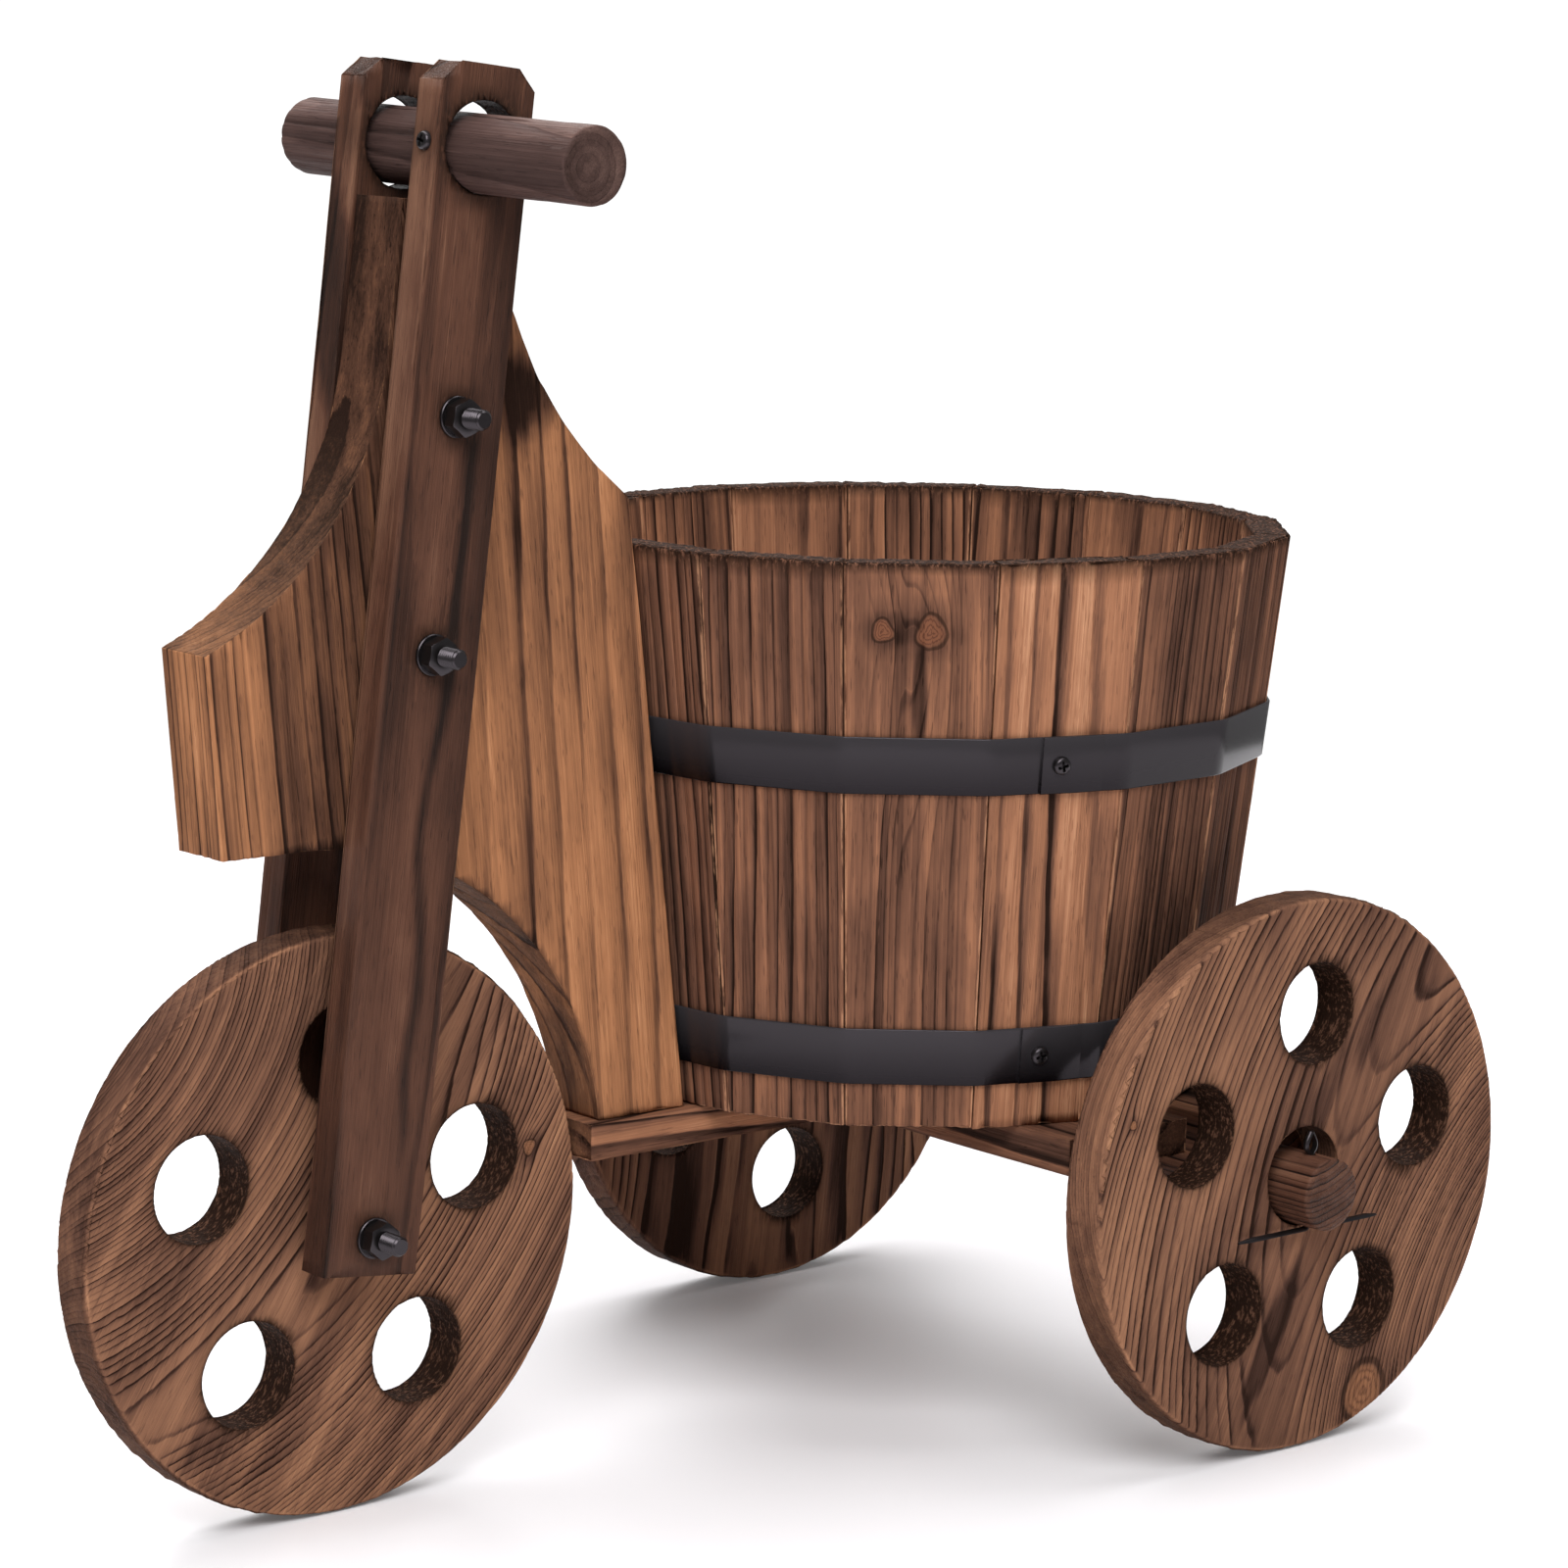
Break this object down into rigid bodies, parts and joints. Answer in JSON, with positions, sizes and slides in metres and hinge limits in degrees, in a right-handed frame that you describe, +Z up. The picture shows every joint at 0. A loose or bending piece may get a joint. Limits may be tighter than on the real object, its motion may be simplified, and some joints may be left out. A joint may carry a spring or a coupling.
{
  "type": "tricycle planter",
  "caption": "Wooden tricycle planter: a banded stave tub on a wheeled base, with a shaped body board, a bolted fork and a handlebar.",
  "frame": {"origin": "on the ground, at the middle of the object's box, midway between the front and rear axles", "axes": "+X forward, towards the front wheel; +Y to the object's left; +Z up"},
  "size_m": [0.59, 0.386, 0.5595],
  "materials": {
    "wheel_wood": "charred and brushed, matte",
    "tub_wood": "charred and brushed, matte",
    "honey_wood": "lightly charred and brushed, matte",
    "dark_wood": "deeply charred and brushed, matte",
    "black_band_steel": "black, satin",
    "black_fasteners": "black oxide, satin"
  },
  "bodies": {
    "frame": {"rear_axle": "dark_wood", "split_pins": "black_fasteners", "base_board": "tub_wood", "axle_board": "tub_wood", "front_cross_board": "tub_wood", "stave_01": "tub_wood", "stave_02": "tub_wood", "stave_03": "tub_wood", "stave_04": "tub_wood", "stave_05": "tub_wood", "stave_06": "tub_wood", "stave_07": "tub_wood", "stave_08": "tub_wood", "stave_09": "tub_wood", "stave_10": "tub_wood", "stave_11": "tub_wood", "stave_12": "tub_wood", "stave_13": "tub_wood", "stave_14": "tub_wood", "stave_15": "tub_wood", "stave_16": "tub_wood", "tub_floor": "tub_wood", "lower_band": "black_band_steel", "upper_band": "black_band_steel", "band_screws": "black_fasteners", "fork_leg_left": "dark_wood", "fork_leg_right": "dark_wood", "handlebar": "dark_wood", "handlebar_screw": "black_fasteners", "body_board": "honey_wood", "front_axle_bolt": "black_fasteners", "fork_bolts": "black_fasteners", "bolt_nuts": "black_fasteners", "bolt_washers": "black_fasteners", "fork_spacers": "black_fasteners", "foot_screws": "black_fasteners", "floor_screws": "black_fasteners", "axle_screws": "black_fasteners"},
    "front_wheel": {"front_wheel": "wheel_wood"},
    "rear_wheel_left": {"rear_wheel_left": "wheel_wood"},
    "rear_wheel_right": {"rear_wheel_right": "wheel_wood"}
  },
  "joints": [
    {"name": "front_wheel_spin", "type": "hinge", "parent": "frame", "child": "front_wheel", "pos_m": [0.18, 0, 0.115], "axis": [0, 1, 0], "continuous": true},
    {"name": "rear_wheel_left_spin", "type": "hinge", "parent": "frame", "child": "rear_wheel_left", "pos_m": [-0.18, 0.166, 0.115], "axis": [0, 1, 0], "continuous": true},
    {"name": "rear_wheel_right_spin", "type": "hinge", "parent": "frame", "child": "rear_wheel_right", "pos_m": [-0.18, -0.166, 0.115], "axis": [0, 1, 0], "continuous": true}
  ]
}
